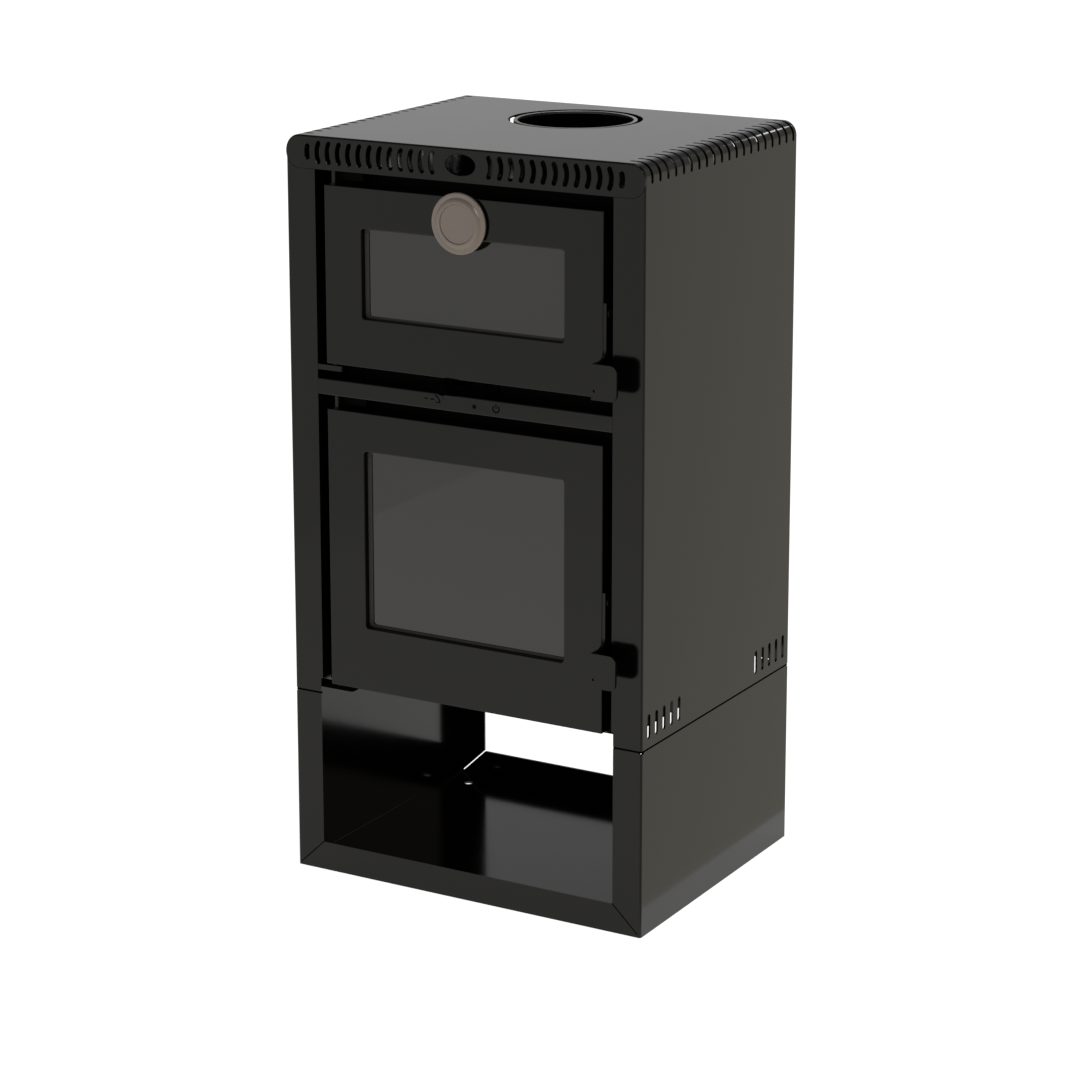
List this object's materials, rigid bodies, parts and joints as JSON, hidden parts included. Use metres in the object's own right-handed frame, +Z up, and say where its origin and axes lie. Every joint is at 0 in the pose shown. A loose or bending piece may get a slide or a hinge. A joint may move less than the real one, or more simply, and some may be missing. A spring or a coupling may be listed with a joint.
{
  "type": "wood stove with oven",
  "caption": "Free-standing sheet-steel wood stove: open log store below, glazed firebox door, glazed oven door with round thermometer above, slotted top edges.",
  "frame": {"origin": "centre of the log store's underside, on the floor", "axes": "+Z up; +X to the right of a person who faces the doors; the doors face -Y"},
  "size_m": [0.51, 0.46, 0.97],
  "materials": {
    "black_paint": "near-black heat-resistant paint, smooth and slightly glossy",
    "dark_steel": "dark heat-resistant paint on steel plate, matt",
    "bare_steel": "plain drawn steel",
    "cast_iron": "rough dark casting",
    "ceramic_glass": "clear heat-proof ceramic glass, dark from outside",
    "rope": "grey woven glass-fibre",
    "vermiculite": "pressed vermiculite board",
    "taupe_metal": "grey-brown satin metal",
    "dial": "grey-brown, blank",
    "knob": "black heat-proof plastic"
  },
  "bodies": {
    "stove": {"log_store_shell": "black_paint", "casing": "black_paint", "top_grille": "black_paint", "cross_rail": "black_paint", "top_rail": "black_paint", "rear_panel": "black_paint", "door_frame_plate": "black_paint", "oven_hinge_tab": "black_paint", "fire_hinge_tab": "black_paint", "air_inlet_collar": "dark_steel", "body_floor": "dark_steel", "firebox_jacket": "dark_steel", "oven_box": "dark_steel", "flue_collar": "dark_steel", "hearth_plate": "dark_steel", "ash_pan": "dark_steel", "slide_guide_top": "dark_steel", "slide_guide_bottom": "dark_steel", "oven_hinge_block": "dark_steel", "fire_hinge_block": "dark_steel", "oven_hinge_pin_top": "bare_steel", "oven_hinge_pin_bottom": "bare_steel", "fire_hinge_pin_top": "bare_steel", "fire_hinge_pin_bottom": "bare_steel", "oven_keeper": "bare_steel", "fire_keeper": "bare_steel", "oven_rack": "bare_steel", "grate": "cast_iron", "log_guard": "cast_iron", "brick_left": "vermiculite", "brick_right": "vermiculite", "brick_back": "vermiculite", "brick_floor_left": "vermiculite", "brick_floor_right": "vermiculite", "brick_floor_back": "vermiculite", "baffle_plate": "vermiculite"},
    "oven_door": {"oven_door_tray": "black_paint", "oven_glass_gasket": "rope", "oven_glass": "ceramic_glass", "oven_glass_retainer": "dark_steel", "oven_door_liner": "dark_steel", "oven_door_rope": "rope", "oven_latch_pivot": "bare_steel", "thermometer_case": "taupe_metal", "thermometer_dial": "dial", "thermometer_stem": "bare_steel"},
    "oven_latch": {"oven_latch_lever": "black_paint"},
    "fire_door": {"fire_door_tray": "black_paint", "fire_glass_gasket": "rope", "fire_glass": "ceramic_glass", "fire_glass_retainer": "dark_steel", "fire_door_liner": "dark_steel", "fire_door_rope": "rope", "fire_latch_pivot": "bare_steel"},
    "fire_latch": {"fire_latch_lever": "black_paint"},
    "air_control": {"air_slide": "dark_steel", "air_knob": "knob"}
  },
  "joints": [
    {"name": "oven_door_hinge", "type": "hinge", "parent": "stove", "child": "oven_door", "pos_m": [-0.189, -0.1985, 0.7956], "axis": [0, 0, -1], "range_deg": [0, 120]},
    {"name": "fire_door_hinge", "type": "hinge", "parent": "stove", "child": "fire_door", "pos_m": [-0.189, -0.1985, 0.44], "axis": [0, 0, -1], "range_deg": [0, 120]},
    {"name": "oven_latch_turn", "type": "hinge", "parent": "oven_door", "child": "oven_latch", "pos_m": [0.2013, -0.1985, 0.785], "axis": [-1, 0, 0], "range_deg": [0, 25]},
    {"name": "fire_latch_turn", "type": "hinge", "parent": "fire_door", "child": "fire_latch", "pos_m": [0.2013, -0.1985, 0.4245], "axis": [-1, 0, 0], "range_deg": [0, 25]},
    {"name": "air_slide_travel", "type": "slide", "parent": "stove", "child": "air_control", "axis": [1, 0, 0], "range_m": [-0.02, 0.07]}
  ]
}
